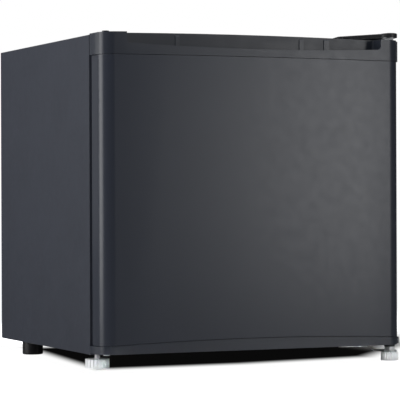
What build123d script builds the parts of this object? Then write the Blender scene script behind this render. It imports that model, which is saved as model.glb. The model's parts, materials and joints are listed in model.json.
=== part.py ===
from build123d import *
import os
from math import cos, pi, sin

# A counter-top mini fridge: one insulated door, an ice box, and a wire condenser on its back.
# Millimetres. +X is to the right seen from the front, +Y to the back, +Z up. The origin lies
# on the floor under the middle of the whole fridge.

# Cabinet
width = 480.0  # over the side panels
cabinet_depth = 398.4  # front edge to rear edge of the side panels
cabinet_height = 457.0
ground_gap = 21.5  # floor to the underside of the cabinet
sheet = 0.8  # painted steel sheet
flange = 26.0  # front return of the steel shell
side_wall = 42.0  # outside of the shell to the liner
top_wall = 44.0
bottom_wall = 44.0
rear_wall = 46.0
step_wall = 39.0  # insulation over and in front of the compressor bay
liner_wall = 1.2
bay_depth = 125.0  # compressor bay, open at the back
bay_height = 174.0
ledge_width = 8.0  # ribs in the liner that carry the shelf
ledge_height = 6.0

# Door
door_depth = 41.0
door_gap = 10.6  # door to cabinet, closed by the gasket
door_floor_gap = 24.0
door_rise = 1.1  # cabinet top to the door's top at its ends
corner_radius = 20.0  # upright front edges
top_cap_height = 31.2  # at the ends of the door
bottom_cap_height = 10.8
top_crown = 3.2  # rise of the door's top at mid-width
top_seam_crown = 1.3
bottom_seam_crown = 6.2
seam_gap = 0.5
cap_wall = 2.5
door_liner_wall = 1.2
skin_return = 10.0  # rear return of the door skin
top_lug_reach = 3.8  # how far the top cap's ends stand proud of the skin
bottom_lug_reach = 4.5
lug_setback = 16.0  # front of the door to the proud ends
lug_round = 2.4
top_lug_drop = 0.5  # door top to the top of the proud ends
bottom_lug_height = 10.0
gasket_inset = 14.0
gasket_width = 20.0
gasket_play = 0.3

# Grip recess in the door's top cap
grip_left = 38.0  # left end of the door to the recess
grip_right = 34.0
grip_front_wall = 3.5
grip_depth = 25.0  # front of the door to the recess's rear wall
grip_floor_drop = 27.0  # door top to the recess's floor
lip_end_drop = 14.6  # door top to the front lip at its ends
lip_sag = 4.4
lip_round = 5.0  # lower corners of the opening in the front
rib_depth = 4.0
rib_front_drop = 2.2  # door top to the ribs' front ends
rib_places = ((125.9, 6.4), (325.6, 7.4), (366.9, 8.6))  # from the left end, and width

# Hinges
pin_inset = 12.0  # pin axis to the side of the door
pin_setback = 17.0  # pin axis to the front of the door
pin_radius = 4.0
running_play = 0.05
boss_wall = 3.0
bush_wall = 1.5
bush_length = 13.0
hinge_plate = 2.5
hinge_boss = 11.0
hinge_span = 74.0  # width of the hinge plates on the cabinet
hinge_seat = 50.0  # depth of the hinge plates on the cabinet
top_arm_lift = 5.2  # cabinet top to the underside of the upper arm
top_arm_ramp = 12.0
lower_arm_drop = 6.2  # cabinet underside to the top of the lower arm
lower_arm_ramp = 9.0
lower_arm_root = 14.0  # pin axis to the side of the lower arm, at the cabinet
lower_arm_lead = 1.0  # front edge of the lower plate ahead of the cabinet
lower_arm_round = 14.0
pin_block_height = 5.2
pin_block_radius = 8.6
collar_radius = 7.3  # flange of the upper bush, between door and arm
washer_radius = 8.0
cover_wall = 1.2
cover_margin = 2.0
cover_round = 1.0
cover_height = 11.7  # cabinet top to the cover's top, over the pin
cover_fall = 0.07  # how much the cover's top falls per millimetre to the back
cover_lap = 0.7  # underside of the arm to the cover's lower edge
hinge_screw_radius = 2.0
hinge_screw_head = 4.2
hinge_head_height = 1.8

# Feet
left_foot_radius = 17.5
left_foot_height = 13.0
right_foot_radius = 13.0  # under the lower hinge
right_foot_height = 12.2
foot_flutes = 20
foot_flute_radius = 1.4
foot_stud_radius = 4.0
foot_seat = 4.0  # bottom of the stud above the floor
left_foot_inset = 22.0
left_foot_setback = 80.0  # from the front of the door
socket_radius = 8.0
socket_flange = 1.5
socket_height = 16.0
rear_foot_radius = 16.0
rear_foot_inset = 25.0
rear_foot_setback = 79.0  # from the rear edge of the side panels

# Shelf and door racks
shelf_wire = 2.5
shelf_cross_wire = 2.0
shelf_bar_wire = 1.3
shelf_bars = 22
shelf_play = 3.0
shelf_setback = 132.0  # front of the door to the front of the shelf
seat_play = 0.3
rack_wall = 2.5
rack_margin = 17.3  # side of the room to the side of a rack
rack_play = 0.5
rack_side_rib = 8.0  # ribs in the door liner beside the racks
rack_rib_reach = 46.0
rack_peg_radius = 3.5
rack_peg_reach = 2.6
rack_peg_rise = 12.0
lower_rack_z = 73.0
lower_rack_depth = 78.0
lower_rack_height = 70.0
upper_rack_z = 253.0
upper_rack_depth = 60.0
upper_rack_height = 46.0
rack_corner = 12.0
rib_margin = 8.0

# Ice box
ice_box_side_gap = 18.8  # left side of the room to the ice box
thermostat_gap = 44.0  # right side of the ice box to the thermostat
ice_box_height = 92.0
ice_box_setback = 118.0  # cabinet front to the front of the ice box
ice_box_rear_gap = 10.0
ice_box_ceiling_gap = 8.0
ice_box_sheet = 1.5
spacer_radius = 6.0
spacer_inset = 25.0
spacer_setback = 30.0
frame_border = 6.0
frame_depth = 10.0
frame_lap = 4.0
flap_thickness = 4.0
flap_play = 0.4
flap_pin_radius = 2.0
ear_thickness = 5.0
tab_reach = 6.0
tab_half = 30.0
tray_height = 21.0
tray_wall = 1.6
rail_drop = 14.0
rail_lip = 8.0
rail_wall = 2.0

# Thermostat
thermostat_width = 80.0
thermostat_depth = 80.0
thermostat_height = 40.0
thermostat_inset = 60.8  # right side of the room to the middle of the thermostat
bulb_setback = 30.0  # front of the thermostat to its feeler tube
bulb_reach = 110.0
bulb_bend = 8.0
thermostat_wall = 1.8
knob_radius = 15.0
knob_depth = 12.0
spindle_radius = 3.0
spindle_gap = 3.0  # face of the knob to the end of the spindle
control_margin = 18.0  # side of the housing to the control in it
control_depth = 44.0
control_gap = 4.0

# Refrigeration
compressor_x = 30.0
compressor_a = 72.0  # half axes of the oval shell
compressor_b = 51.0
compressor_height = 132.0
compressor_setback = 60.0  # from the rear edge of the side panels
compressor_round = 28.0
terminal_rise = 50.0  # compressor foot plate to the terminal cover
terminal_height = 52.0
terminal_reach = 22.0
terminal_overlap = 30.0
terminal_front = 34.0
terminal_rear = 2.0
beam_sheet = 1.5
beam_lip = 10.0
grommet_radius = 9.0
grommet_height = 8.0
mount_plate = 2.5
mount_bolt_radius = 3.0
mount_x = 62.0
mount_y = 38.0
line_radius = 2.4  # condenser and discharge line
suction_radius = 3.2
line_bend = 14.0
suction_crossing = 52.0  # the run in the foam to the run beside the compressor
suction_side_gap = 26.0  # compressor to the suction line beside it
suction_setback = 12.0
suction_level = 42.0
stub_depth = 12.0  # how far the lines run into the compressor's shell
discharge_level = 60.0
discharge_reach = 34.0
discharge_drop = 14.0  # below the lines that cross the bay
capillary_radius = 1.1
capillary_bend = 12.0
capillary_inset = 34.0  # left side of the ice box to the capillary
capillary_rise = 16.0  # above the suction line
capillary_low = 12.0
capillary_slope = 30.0
line_play = 0.2
condenser_standoff = 14.0  # back panel to the axis of the condenser tube
condenser_runs = 7
condenser_low_gap = 39.0  # bay ceiling to the lowest run
condenser_inset = 70.0  # side of the cabinet to the bends of the condenser
condenser_top_gap = 28.0  # cabinet top to the top run
condenser_wire_radius = 0.8
weld_gap = 0.05
condenser_wires = 24
riser_gap = 25.0
drier_radius = 9.5
drier_length = 88.0
drier_setback = 25.0
drier_gap = 8.0  # bend above the drier to the drier
gland_inset = 60.0  # side of the cabinet to the gland of the supply lead
gland_rise = 60.0
gland_flange = 4.0
gland_flange_radius = 13.0
gland_neck = 14.0
gland_radius = 8.0
gland_bore = 3.6
bay_line_drop = 25.0  # bay ceiling to the lines that cross it

# Derived places
half = width / 2
rear_reach = condenser_standoff + line_radius + weld_gap + 2 * condenser_wire_radius
overall_depth = door_depth + door_gap + cabinet_depth + rear_reach
front = -overall_depth / 2
door_rear = front + door_depth
cabinet_front = door_rear + door_gap
cabinet_rear = cabinet_front + cabinet_depth
cabinet_bottom = ground_gap
cabinet_top = cabinet_bottom + cabinet_height
door_bottom = door_floor_gap
door_top = cabinet_top + door_rise
top_seam = door_top - top_cap_height
bottom_seam = door_bottom + bottom_cap_height
pin_x = half - pin_inset
pin_y = front + pin_setback
bay_front = cabinet_rear - bay_depth
bay_top = cabinet_bottom + bay_height
liner_half = half - side_wall  # outside of the liner
room_half = liner_half - liner_wall  # inside of the liner
room_floor = cabinet_bottom + bottom_wall + liner_wall
room_ceiling = cabinet_top - top_wall - liner_wall
room_rear = cabinet_rear - rear_wall - liner_wall
step_front = bay_front - step_wall - liner_wall
step_top = bay_top + sheet + step_wall + liner_wall
rack_half = room_half - rack_margin
thermostat_x = room_half - thermostat_inset
ice_left = ice_box_side_gap - room_half
ice_right = thermostat_x - thermostat_width / 2 - thermostat_gap
ice_front = cabinet_front + ice_box_setback
ice_rear = room_rear - ice_box_rear_gap
ice_top = room_ceiling - ice_box_ceiling_gap
ice_bottom = ice_top - ice_box_height
flap_axis_y = ice_front - frame_depth - flap_play - flap_thickness / 2
flap_axis_z = ice_bottom - frame_border + flap_thickness / 2 + 3.0
beam_top = cabinet_bottom + beam_sheet
compressor_y = cabinet_rear - compressor_setback
plate_bottom = beam_top + grommet_height
compressor_floor = plate_bottom + mount_plate
condenser_y = cabinet_rear + condenser_standoff
condenser_top = cabinet_top - condenser_top_gap
condenser_half = half - condenser_inset
condenser_pitch = (condenser_top - bay_top - condenser_low_gap) / (condenser_runs - 1)
foam_line_y = cabinet_rear - rear_wall / 2
bay_line_z = bay_top - bay_line_drop


def slab(x0, x1, y0, y1, z0, z1):
    """A block from its low and high faces."""
    middle = Pos((x0 + x1) / 2, (y0 + y1) / 2, (z0 + z1) / 2)
    return middle * Box(x1 - x0, y1 - y0, z1 - z0)


def post(x, y, z0, z1, radius):
    """An upright cylinder."""
    return Pos(x, y, (z0 + z1) / 2) * Cylinder(radius, z1 - z0)


def rod(start, end, radius):
    """A cylinder between two points."""
    reach = Vector(*end) - Vector(*start)
    return Plane(origin=start, z_dir=reach) * Pos(0, 0, reach.length / 2) * Cylinder(radius, reach.length)


def pipe(points, bend, radius):
    """A round tube, drawn solid, along straight runs with rounded bends."""
    path = FilletPolyline(*points, radius=bend)
    return sweep(Plane(origin=path @ 0, z_dir=path % 0) * Circle(radius), path)


def upright_edges(part):
    return part.edges().filter_by(Axis.Z)


def side_profile(points, x0, x1):
    """A shape drawn in the Y-Z plane and drawn out from x0 to x1."""
    outline = Polyline(*[(x0, y, z) for y, z in points], close=True)
    return extrude(make_face(outline), x1 - x0, dir=(1, 0, 0))


def ring(x0, x1, z0, z1, border, y0, y1):
    """A rectangular frame, seen from the front."""
    window = slab(x0 + border, x1 - border, y0 - 1, y1 + 1, z0 + border, z1 - border)
    return slab(x0, x1, y0, y1, z0, z1) - window


def over_arch(z_end, crown, z_top, y0, y1):
    """Everything between a line crowned at mid-width and a level above it."""
    reach = half + bottom_lug_reach + 1
    arc = ThreePointArc((-reach, y0, z_end), (0, y0, z_end + crown), (reach, y0, z_end))
    edges = Polyline((reach, y0, z_end), (reach, y0, z_top), (-reach, y0, z_top), (-reach, y0, z_end))
    return extrude(make_face([arc, *edges.edges()]), y1 - y0, dir=(0, 1, 0))


def door_prism(inset, z0, z1, rear):
    """The door's plan with rounded front corners, set in by a wall, from z0 to z1."""
    x = half - inset
    y = front + inset
    outline = Polyline((-x, rear, z0), (-x, y, z0), (x, y, z0), (x, rear, z0), close=True)
    block = extrude(make_face(outline), z1 - z0, dir=(0, 0, 1))
    corners = upright_edges(block).sort_by(Axis.Y)[:2]
    return fillet(corners, corner_radius - inset)


def side_panel(side):
    """A steel side with its front return, for side -1 (left) or 1 (right)."""
    outer = side * half
    inner = side * (half - sheet)
    lip = side * (half - flange)
    z0, z1 = cabinet_bottom, cabinet_top
    wall = slab(min(outer, inner), max(outer, inner), cabinet_front, cabinet_rear, z0, z1)
    return wall + slab(min(outer, lip), max(outer, lip), cabinet_front, cabinet_front + sheet, z0, z1)


def top_panel():
    inner = half - sheet
    lip = half - flange
    plate = slab(-inner, inner, cabinet_front + sheet, cabinet_rear, cabinet_top - sheet, cabinet_top)
    edge = slab(-lip, lip, cabinet_front, cabinet_front + sheet, cabinet_top - flange, cabinet_top)
    return plate + edge


def bottom_panel():
    inner = half - sheet
    lip = half - flange
    plate = slab(-inner, inner, cabinet_front + sheet, bay_front, cabinet_bottom, cabinet_bottom + sheet)
    edge = slab(-lip, lip, cabinet_front, cabinet_front + sheet, cabinet_bottom, cabinet_bottom + flange)
    hole = post(*left_foot_place(), cabinet_bottom - 1, cabinet_bottom + 2, socket_radius)
    return plate + edge - hole


def bay_panel():
    """The step over the compressor bay: an upright wall and the bay's ceiling."""
    inner = half - sheet
    wall = slab(-inner, inner, bay_front, bay_front + sheet, cabinet_bottom, bay_top + sheet)
    ceiling = slab(-inner, inner, bay_front, cabinet_rear - sheet, bay_top, bay_top + sheet)
    return wall + ceiling - line_holes()


def back_panel():
    inner = half - sheet
    return slab(-inner, inner, cabinet_rear - sheet, cabinet_rear, bay_top, cabinet_top - sheet)


def liner_form(grow):
    """The room inside the fridge as a solid, grown outwards by a wall."""
    low = room_floor - grow
    high = room_ceiling + grow
    points = [
        (cabinet_front, low),
        (step_front + grow, low),
        (step_front + grow, step_top - grow),
        (room_rear + grow, step_top - grow),
        (room_rear + grow, high),
        (cabinet_front, high),
    ]
    return side_profile(points, -room_half - grow, room_half + grow)


def inner_liner():
    """The plastic lining, with its rim behind the gasket and two ledges for the shelf."""
    rim_x = half - flange
    z0, z1 = cabinet_bottom + flange, cabinet_top - flange
    rim = slab(-rim_x, rim_x, cabinet_front, cabinet_front + liner_wall, z0, z1)
    shell = liner_form(liner_wall) + rim - liner_form(0)
    ledge_front = front + shelf_setback - 20
    for side in (-1, 1):
        outer = side * room_half
        inner = side * (room_half - ledge_width)
        shell += slab(
            min(outer, inner), max(outer, inner), ledge_front, step_front, step_top - ledge_height, step_top
        )
    return shell - line_holes()


def insulation_foam():
    inner = half - sheet
    block = slab(
        -inner,
        inner,
        cabinet_front + liner_wall,
        cabinet_rear - sheet,
        cabinet_bottom + sheet,
        cabinet_top - sheet,
    )
    bay = slab(-half, half, bay_front, cabinet_rear, cabinet_bottom, bay_top + sheet)
    socket = post(*left_foot_place(), cabinet_bottom, cabinet_bottom + socket_height, socket_radius)
    return block - bay - liner_form(liner_wall) - socket - line_holes()


def left_foot_place():
    return -half + left_foot_inset, front + left_foot_setback


def suction_points():
    """The suction line: from the ice box back into the foam, down, and round to the compressor."""
    side = compressor_x - compressor_a - suction_side_gap
    x = side - suction_crossing
    level = ice_bottom + ice_box_height / 2
    y = compressor_y + suction_setback
    stub = compressor_floor + suction_level
    return [
        (x, ice_rear, level),
        (x, foam_line_y, level),
        (x, foam_line_y, bay_line_z),
        (side, foam_line_y, bay_line_z),
        (side, y, bay_line_z),
        (side, y, stub),
        (compressor_x - compressor_a + stub_depth, y, stub),
    ]


def capillary_points():
    """The capillary: from the drier round and up through the foam to the ice box."""
    x = ice_left + capillary_inset
    level = ice_bottom + ice_box_height / 2 + capillary_rise
    low = compressor_floor + capillary_low
    drier_x, drier_y = -condenser_half, cabinet_rear - drier_setback
    return [
        (drier_x, drier_y, drier_bottom()),
        (drier_x, drier_y, low),
        (x, drier_y, low),
        (x, foam_line_y, low + capillary_slope),
        (x, foam_line_y, level),
        (x, ice_rear, level),
    ]


def line_holes():
    """Clearance for the two lines that pass through the walls."""
    suction = suction_points()
    capillary = capillary_points()
    down = (suction[2][0], suction[2][1], bay_top - 2)
    up = (capillary[3][0], capillary[3][1], bay_top - 2)
    first = pipe([suction[0], suction[1], down], line_bend, suction_radius + line_play)
    second = pipe([up, capillary[4], capillary[5]], capillary_bend, capillary_radius + line_play)
    return first + second


def suction_line():
    return pipe(suction_points(), line_bend, suction_radius) - compressor()


def capillary_tube():
    return pipe(capillary_points(), capillary_bend, capillary_radius)


def evaporator():
    """The ice box: an aluminium box, open at the front."""
    outer = slab(ice_left, ice_right, ice_front, ice_rear, ice_bottom, ice_top)
    wall = ice_box_sheet
    inside = slab(
        ice_left + wall, ice_right - wall, ice_front - 1, ice_rear - wall, ice_bottom + wall, ice_top - wall
    )
    return outer - inside


def evaporator_spacers():
    """Four moulded posts that hang the ice box from the liner's ceiling."""
    posts = []
    for x in (ice_left + spacer_inset, ice_right - spacer_inset):
        for y in (ice_front + spacer_setback, ice_rear - spacer_setback):
            posts.append(post(x, y, ice_top, room_ceiling, spacer_radius))
    return posts


def freezer_frame():
    """The moulded front of the ice box, with two ears that hold the flap's pins."""
    y1 = ice_front
    y0 = ice_front - frame_depth
    border = frame_border + frame_lap
    x0, x1 = ice_left - frame_border, ice_right + frame_border
    z0, z1 = ice_bottom - frame_border, ice_top + frame_border
    body = ring(x0, x1, z0, z1, border, y0, y1)
    reach = flap_thickness + flap_play + 2
    ends = ((x0 - 1, flap_axis_y, flap_axis_z), (x1 + 1, flap_axis_y, flap_axis_z))
    hole = rod(*ends, flap_pin_radius + running_play)
    for x in (x0, x1 - ear_thickness):
        body += slab(x, x + ear_thickness, y0 - reach, y0, z0, flap_axis_z + 5)
    return body - hole


def freezer_flap():
    """The ice box's flap, hinged along its lower edge on two pins, with a finger tab."""
    x0 = ice_left - frame_border + ear_thickness + flap_play
    x1 = ice_right + frame_border - ear_thickness - flap_play
    y0 = flap_axis_y - flap_thickness / 2
    y1 = flap_axis_y + flap_thickness / 2
    top = ice_top + frame_border - 2
    panel = slab(x0, x1, y0, y1, flap_axis_z, top)
    panel += rod((x0, flap_axis_y, flap_axis_z), (x1, flap_axis_y, flap_axis_z), flap_thickness / 2)
    reach = ear_thickness + flap_play
    panel += rod((x0 - reach, flap_axis_y, flap_axis_z), (x0 + 2, flap_axis_y, flap_axis_z), flap_pin_radius)
    panel += rod((x1 - 2, flap_axis_y, flap_axis_z), (x1 + reach, flap_axis_y, flap_axis_z), flap_pin_radius)
    middle = (x0 + x1) / 2
    panel += slab(middle - tab_half, middle + tab_half, y0 - tab_reach, y0, top - flap_thickness, top)
    return panel


def tray_rails():
    """Two rails under the ice box that carry the drip tray."""
    rails = []
    z = ice_bottom - rail_drop
    for wall, lip in ((ice_left, ice_left + rail_lip), (ice_right, ice_right - rail_lip)):
        web = wall + (rail_wall if lip > wall else -rail_wall)
        rail = slab(min(wall, web), max(wall, web), ice_front, ice_rear, z, ice_bottom)
        rail += slab(min(wall, lip), max(wall, lip), ice_front, ice_rear, z - rail_wall, z)
        rails.append(rail)
    return rails


def drip_tray():
    z_flange = ice_bottom - rail_drop + seat_play
    x0 = ice_left + rail_wall + rack_play
    x1 = ice_right - rail_wall - rack_play
    y0 = ice_front - frame_depth + 2
    y1 = ice_rear - 4
    plate = slab(x0, x1, y0, y1, z_flange, z_flange + rail_wall)
    body_x0 = ice_left + rail_lip + rack_play
    body_x1 = ice_right - rail_lip - rack_play
    bowl = slab(body_x0, body_x1, y0, y1, z_flange + rail_wall - tray_height, z_flange + rail_wall)
    bowl = fillet(upright_edges(bowl), 6)
    inside = slab(
        body_x0 + tray_wall,
        body_x1 - tray_wall,
        y0 + tray_wall,
        y1 - tray_wall,
        z_flange + rail_wall - tray_height + tray_wall,
        z_flange + rail_wall + 1,
    )
    return plate + bowl - fillet(upright_edges(inside), 5)


def thermostat_box():
    """Low and high corners of the thermostat housing."""
    y0 = ice_front + 10
    return (
        thermostat_x - thermostat_width / 2,
        thermostat_x + thermostat_width / 2,
        y0,
        y0 + thermostat_depth,
        room_ceiling - thermostat_height,
        room_ceiling,
    )


def thermostat_housing():
    x0, x1, y0, y1, z0, z1 = thermostat_box()
    wall = thermostat_wall
    block = slab(x0, x1, y0, y1, z0, z1)
    block = fillet(upright_edges(block), 6)
    block -= slab(x0 + wall, x1 - wall, y0 + wall, y1 - wall, z0 + wall, z1 + 1)
    level = (z0 + z1) / 2
    return block - rod((thermostat_x, y0 - 1, level), (thermostat_x, y0 + 4, level), spindle_radius + 0.5)


def thermostat_control():
    """The switch inside the housing, with its spindle."""
    x0, x1, y0, y1, z0, z1 = thermostat_box()
    level = (z0 + z1) / 2
    x0, x1 = x0 + control_margin, x1 - control_margin
    z0, z1 = z0 + thermostat_wall, z1 - control_gap
    body = slab(x0, x1, y0 + thermostat_wall, y0 + control_depth, z0, z1)
    tip = y0 - knob_depth + spindle_gap
    root = y0 + thermostat_wall + 1
    return body + rod((thermostat_x, tip, level), (thermostat_x, root, level), spindle_radius)


def thermostat_knob():
    """The dial, with a grip bar across its face."""
    x0, x1, y0, y1, z0, z1 = thermostat_box()
    level = (z0 + z1) / 2
    skirt = rod((thermostat_x, y0 - 4.5, level), (thermostat_x, y0 - 0.5, level), knob_radius)
    hub = rod((thermostat_x, y0 - knob_depth, level), (thermostat_x, y0 - 0.5, level), knob_radius * 0.62)
    grip = slab(thermostat_x - 3, thermostat_x + 3, y0 - knob_depth, y0 - 4, level - 12, level + 12)
    bore = rod((thermostat_x, y0 - 9.4, level), (thermostat_x, y0, level), spindle_radius + running_play)
    return skirt + hub + grip - bore


def sensing_bulb():
    """The thermostat's feeler tube, from the housing to the side of the ice box."""
    x0, x1, y0, y1, z0, z1 = thermostat_box()
    x = ice_right + capillary_radius
    level = (z0 + z1) / 2
    y = y0 + bulb_setback
    return pipe([(x0, y, level), (x, y, level), (x, y0 + bulb_reach, level)], bulb_bend, capillary_radius)


def wire_shelf():
    """A welded wire shelf: a frame, two cross wires and the bars over them."""
    z = step_top + seat_play + shelf_wire
    x = room_half - shelf_play - shelf_wire
    y0 = front + shelf_setback + shelf_wire
    y1 = room_rear - shelf_play - shelf_wire
    shelf = pipe([(0, y0, z), (x, y0, z), (x, y1, z), (0, y1, z)], 12, shelf_wire)
    shelf += pipe([(0, y0, z), (-x, y0, z), (-x, y1, z), (0, y1, z)], 12, shelf_wire)
    for part_way in (1 / 3, 2 / 3):
        y = y0 + (y1 - y0) * part_way
        shelf += rod((-x, y, z), (x, y, z), shelf_cross_wire)
    bar_z = z + shelf_wire + shelf_bar_wire - 0.6
    spacing = 2 * x / (shelf_bars + 1)
    bars = []
    for index in range(shelf_bars):
        bar_x = -x + spacing * (index + 1)
        bars.append(rod((bar_x, y0 - 1, bar_z), (bar_x, y1 + 1, bar_z), shelf_bar_wire))
    return shelf + bars


def rack_ribs(low, height):
    """The door liner's two side ribs for one rack, with the pegs that carry it."""
    inner = rack_half + rack_play
    z0, z1 = low - rib_margin / 2, low + height + rib_margin
    peg_z = low + rack_peg_rise
    parts = []
    for side in (-1, 1):
        a, b = side * inner, side * (inner + rack_side_rib)
        rib = slab(min(a, b), max(a, b), door_rear, door_rear + rack_rib_reach, z0, z1)
        for y in (door_rear + 12, door_rear + rack_rib_reach - 12):
            tip = a - side * (rack_play + rack_peg_reach)
            rib += rod((a, y, peg_z), (tip, y, peg_z), rack_peg_radius)
        parts.append(rib)
    return parts


def door_liner():
    """The door's inner sheet, with the ribs and pegs that carry the racks."""
    x = half - skin_return - 1
    z0, z1 = bottom_seam + bottom_seam_crown + 1, top_seam - 1
    plate = slab(-x, x, door_rear - door_liner_wall, door_rear, z0, z1)
    for rib in rack_ribs(lower_rack_z, lower_rack_height):
        plate += rib
    for rib in rack_ribs(upper_rack_z, upper_rack_height):
        plate += rib
    return plate


def door_rack(low, height, depth):
    """An open-topped rack with slots under its sides that drop over the liner's pegs."""
    y0 = door_rear + rack_play
    y1 = y0 + depth
    outer = slab(-rack_half, rack_half, y0, y1, low, low + height)
    outer = fillet(upright_edges(outer).sort_by(Axis.Y)[-2:], rack_corner)
    inner = slab(
        -rack_half + rack_wall,
        rack_half - rack_wall,
        y0 + rack_wall,
        y1 - rack_wall,
        low + rack_wall,
        low + height + 1,
    )
    inner = fillet(upright_edges(inner).sort_by(Axis.Y)[-2:], rack_corner - rack_wall)
    rack = outer - inner
    slot_half = rack_peg_radius + 0.3
    slot_top = low + rack_peg_rise + rack_peg_radius + seat_play
    for y in (door_rear + 12, door_rear + rack_rib_reach - 12):
        for side in (-1, 1):
            a, b = side * (rack_half - rack_wall - 1), side * (rack_half + 1)
            rack -= slab(min(a, b), max(a, b), y - slot_half, y + slot_half, low - 1, slot_top)
    return rack


def door_skin():
    """The door's painted steel skin, between the two caps, with rear returns."""
    shell = door_prism(0, bottom_seam, top_seam + top_seam_crown, door_rear)
    shell -= door_prism(sheet, bottom_seam - 1, top_seam + top_seam_crown + 1, door_rear + 1)
    for side in (-1, 1):
        a, b = side * (half - sheet), side * (half - skin_return)
        z1 = top_seam + top_seam_crown
        shell += slab(min(a, b), max(a, b), door_rear - sheet, door_rear, bottom_seam, z1)
    low = over_arch(bottom_seam + seam_gap, bottom_seam_crown, door_top, front - 1, door_rear + 1)
    high = over_arch(top_seam - seam_gap, top_seam_crown, door_top, front - 1, door_rear + 1)
    return (shell & low) - high


def door_foam():
    low = bottom_seam + bottom_seam_crown + seam_gap
    return door_prism(sheet, low, top_seam - seam_gap, door_rear - door_liner_wall)


def cap_lugs(reach, z0, z1):
    """The ends of a door cap, standing proud of the skin."""
    lugs = []
    for side in (-1, 1):
        a, b = side * (half - corner_radius / 2), side * (half + reach)
        lug = slab(min(a, b), max(a, b), front + lug_setback, door_rear, z0, z1)
        edges = upright_edges(lug).sort_by(Axis.X)
        outer = edges[-2:] if side > 0 else edges[:2]
        lugs.append(fillet(outer, lug_round))
    return lugs


def pin_bore(side, z0, z1):
    return post(side * pin_x, pin_y, z0, z1, pin_radius + running_play + bush_wall)


def door_top_cap():
    """The moulded top of the door: grip recess, ribs and a boss for the hinge at either end."""
    body = door_prism(0, top_seam, door_top + top_crown, door_rear)
    body -= over_arch(door_top, top_crown, door_top + top_crown + 1, front - 1, door_rear + 1)
    body &= over_arch(top_seam, top_seam_crown, door_top + top_crown + 1, front - 1, door_rear + 1)
    for lug in cap_lugs(top_lug_reach, top_seam, door_top - top_lug_drop):
        body += lug
    x0, x1 = -half + grip_left, half - grip_right
    floor = door_top - grip_floor_drop
    trough = slab(x0, x1, front + grip_front_wall, front + grip_depth, floor, door_top + top_crown + 1)
    body -= fillet(upright_edges(trough), 3)
    lip = door_top - lip_end_drop
    y0, y1 = front - 1, front + grip_front_wall + 3.5
    arc = ThreePointArc((x0, y0, lip), ((x0 + x1) / 2, y0, lip - lip_sag), (x1, y0, lip))
    top = door_top + top_crown + 1
    sides = Polyline((x1, y0, lip), (x1, y0, top), (x0, y0, top), (x0, y0, lip))
    mouth = extrude(make_face([arc, *sides.edges()]), y1 - y0, dir=(0, 1, 0))
    body -= fillet(mouth.edges().filter_by(Axis.Y).sort_by(Axis.Z)[:2], lip_round)
    ceiling = door_top - cap_wall
    behind = front + grip_depth + cap_wall
    body -= slab(-half + cap_wall, half - cap_wall, behind, door_rear - cap_wall, top_seam - 1, ceiling)
    for a, b in ((-half + cap_wall, x0 - cap_wall), (x1 + cap_wall, half - cap_wall)):
        pocket = slab(a, b, front + cap_wall, behind + 1, top_seam - 1, ceiling)
        corner = upright_edges(pocket).sort_by(Axis.Y)[:2].sort_by(Axis.X)
        body -= fillet(corner[0] if a < 0 else corner[1], corner_radius - cap_wall)
    for side in (-1, 1):
        boss_radius = pin_radius + running_play + bush_wall + boss_wall
        boss = post(side * pin_x, pin_y, door_top - bush_length - 6, ceiling, boss_radius)
        body += boss & door_prism(0.1, top_seam, door_top, door_rear)
        body -= pin_bore(side, door_top - bush_length, door_top + top_crown)
    body -= post(pin_x, pin_y, door_top, door_top + top_crown, collar_radius + running_play)
    for place, thick in rib_places:
        rib_x = -half + place
        back = front + grip_depth
        face = back - rib_depth
        points = [(face, floor), (back, floor), (back, door_top - 0.5), (face, door_top - rib_front_drop)]
        body += side_profile(points, rib_x - thick / 2, rib_x + thick / 2)
    return body


def door_bottom_cap():
    """The moulded bottom of the door, its seam crowned at mid-width."""
    top = bottom_seam + bottom_seam_crown
    body = door_prism(0, door_bottom, top, door_rear)
    body -= over_arch(bottom_seam, bottom_seam_crown, top + 1, front - 1, door_rear + 1)
    for lug in cap_lugs(bottom_lug_reach, door_bottom + 0.6, door_bottom + 0.6 + bottom_lug_height):
        body += lug
    body -= door_prism(cap_wall, door_bottom + cap_wall, top + 1, door_rear - cap_wall)
    for side in (-1, 1):
        boss_radius = pin_radius + running_play + bush_wall + boss_wall
        boss = post(side * pin_x, pin_y, door_bottom, bottom_seam, boss_radius)
        body += boss & door_prism(0.1, door_bottom, top, door_rear)
        body -= pin_bore(side, door_bottom - 1, bottom_seam + 1)
    return body


def door_gasket():
    x = half - gasket_inset
    z0, z1 = cabinet_bottom + gasket_inset, cabinet_top - gasket_inset
    return ring(-x, x, z0, z1, gasket_width, door_rear, cabinet_front - gasket_play)


def hinge_bushes():
    """The two plastic bearings that the door turns on, the upper one with a collar."""
    outer = pin_radius + running_play + bush_wall
    inner = pin_radius + running_play
    arm = cabinet_top + top_arm_lift
    upper = post(pin_x, pin_y, door_top - bush_length, door_top, outer)
    upper += post(pin_x, pin_y, door_top, arm - running_play, collar_radius)
    upper -= post(pin_x, pin_y, door_top - bush_length - 1, arm + 1, inner)
    lower = post(pin_x, pin_y, door_bottom, bottom_seam, outer)
    lower -= post(pin_x, pin_y, door_bottom - 1, bottom_seam + 1, inner)
    return [upper, lower]


def top_hole_plug():
    """The plug in the spare hinge hole at the door's top left."""
    radius = pin_radius + running_play + bush_wall
    stem = post(-pin_x, pin_y, door_top - 8, door_top + 0.6, radius - 0.1)
    return stem + post(-pin_x, pin_y, door_top + 0.6, door_top + 2.4, radius - 0.6)


def bottom_hole_plug():
    radius = pin_radius + running_play + bush_wall
    stem = post(-pin_x, pin_y, door_bottom, bottom_seam - 2, radius - 0.1)
    return stem + post(-pin_x, pin_y, door_bottom - 1.8, door_bottom, radius - 0.8)


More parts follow.
